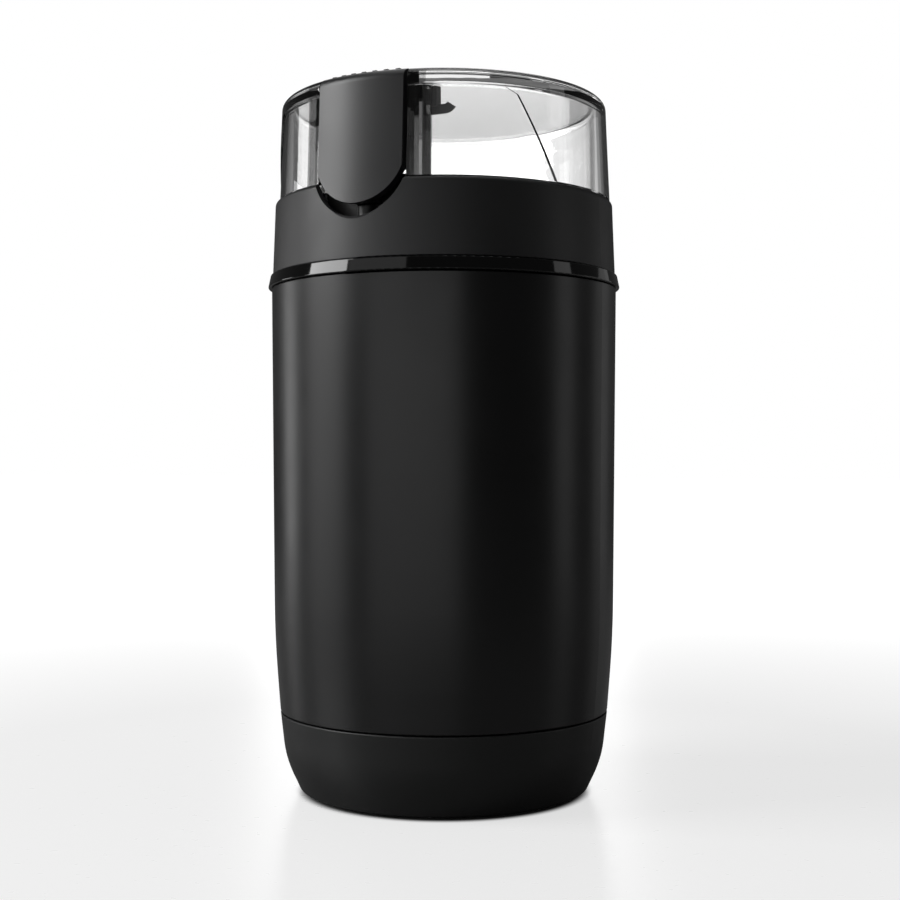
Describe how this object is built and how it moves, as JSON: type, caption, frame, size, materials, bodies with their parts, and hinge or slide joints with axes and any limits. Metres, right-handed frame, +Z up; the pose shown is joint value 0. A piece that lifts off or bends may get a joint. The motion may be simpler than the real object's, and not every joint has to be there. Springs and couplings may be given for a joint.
{
  "type": "electric coffee grinder",
  "caption": "Electric blade coffee grinder: slim black drum body with a glossy trim ring, matt collar, clear lift-off lid and a ribbed press button in a round-bottomed notch",
  "frame": {"origin": "on the floor under the middle of the grinder, with the rubber feet resting on it", "axes": "+Z up along the drum's axis, -Y towards the user, where the press button is, +X to the user's right"},
  "size_m": [0.0898, 0.0898, 0.1753],
  "materials": {
    "base_plastic": "fine satin moulding, cool black",
    "rubber_black": "matt black rubber",
    "screw_steel": "zinc-plated screw",
    "bush_plastic": "matt black moulding",
    "housing_gloss": "satin-gloss black moulding",
    "trim_gloss": "polished black moulding",
    "collar_matte": "fine-grained matt black",
    "inner_plastic": "plain black moulding",
    "bowl_steel": "drawn stainless steel, satin",
    "seal_rubber": "soft sealing rubber",
    "lamination_steel": "stacked electrical steel",
    "copper_wire": "enamelled copper wire",
    "cast_metal": "die-cast",
    "bronze": "sintered bronze",
    "brass_sheet": "bent brass sheet",
    "carbon": "pressed carbon",
    "spring_steel": "bright spring steel",
    "switch_plastic": "black moulding",
    "capacitor_plastic": "yellow moulded case",
    "terminal_plastic": "white moulding",
    "shaft_steel": "ground steel",
    "copper_bars": "turned copper",
    "fan_plastic": "black moulding",
    "hub_plastic": "black moulding",
    "blade_steel": "stamped stainless steel",
    "nut_steel": "plated steel",
    "clear_plastic": "clear polished plastic, faintly smoked",
    "button_plastic": "fine-grained matt black",
    "yoke_plastic": "black moulding",
    "plunger_plastic": "black moulding"
  },
  "bodies": {
    "housing": {"base_cap": "base_plastic", "rubber_feet": "rubber_black", "base_screws": "screw_steel", "cord_bush": "bush_plastic", "main_housing": "housing_gloss", "trim_ring": "trim_gloss", "collar": "collar_matte", "collar_screws": "screw_steel", "bowl_carrier": "inner_plastic", "switch_bracket": "inner_plastic", "grinding_bowl": "bowl_steel", "bowl_gasket": "seal_rubber", "shaft_seal": "seal_rubber", "stator_core": "lamination_steel", "field_coils": "copper_wire", "upper_bracket": "cast_metal", "lower_bracket": "inner_plastic", "upper_bearing": "bronze", "lower_bearing": "bronze", "motor_bolts": "screw_steel", "mount_screws": "screw_steel", "motor_dampers": "rubber_black", "brush_holders": "brass_sheet", "carbon_brushes": "carbon", "brush_springs": "spring_steel", "microswitch": "switch_plastic", "switch_terminals": "brass_sheet", "noise_capacitor": "capacitor_plastic", "terminal_block": "terminal_plastic", "plunger_spring": "spring_steel"},
    "rotor": {"rotor_shaft": "shaft_steel", "rotor_core": "lamination_steel", "rotor_windings": "copper_wire", "commutator": "copper_bars", "cooling_fan": "fan_plastic", "blade_hub": "hub_plastic", "blade": "blade_steel", "blade_nut": "nut_steel"},
    "lid": {"lid_shell": "clear_plastic", "button_spring": "spring_steel"},
    "button": {"press_button": "button_plastic", "button_yoke": "yoke_plastic"},
    "plunger": {"switch_plunger": "plunger_plastic"},
    "lever": {"switch_lever": "spring_steel"},
    "actuator": {"switch_actuator": "switch_plastic"}
  },
  "joints": [
    {"name": "blade_spin", "type": "hinge", "parent": "housing", "child": "rotor", "pos_m": [0, 0, 0.0625], "axis": [0, 0, 1], "continuous": true},
    {"name": "lid_lift", "type": "slide", "parent": "housing", "child": "lid", "axis": [0, 0, 1], "range_m": [0, 0.06]},
    {"name": "button_press", "type": "slide", "parent": "lid", "child": "button", "axis": [0, 0, -1], "range_m": [0, 0.0028], "stiffness_N_per_m": 900, "deforming": ["button_spring"]},
    {"name": "plunger_travel", "type": "slide", "parent": "housing", "child": "plunger", "axis": [0, 0, -1], "range_m": [0, 0.0028], "deforming": ["plunger_spring"]},
    {"name": "lever_swing", "type": "hinge", "parent": "housing", "child": "lever", "pos_m": [-0.0084, -0.0364, 0.0955], "axis": [0, 1, 0], "range_deg": [0, 16]},
    {"name": "actuator_travel", "type": "slide", "parent": "housing", "child": "actuator", "axis": [0, 0, -1], "range_m": [0, 0.0006]}
  ],
  "couplings": [
    {"joint": "plunger_travel", "follows": "button_press", "ratio": 1},
    {"joint": "lever_swing", "follows": "button_press", "rad_per_m": 99.733},
    {"joint": "actuator_travel", "follows": "button_press", "ratio": 0.21429}
  ]
}
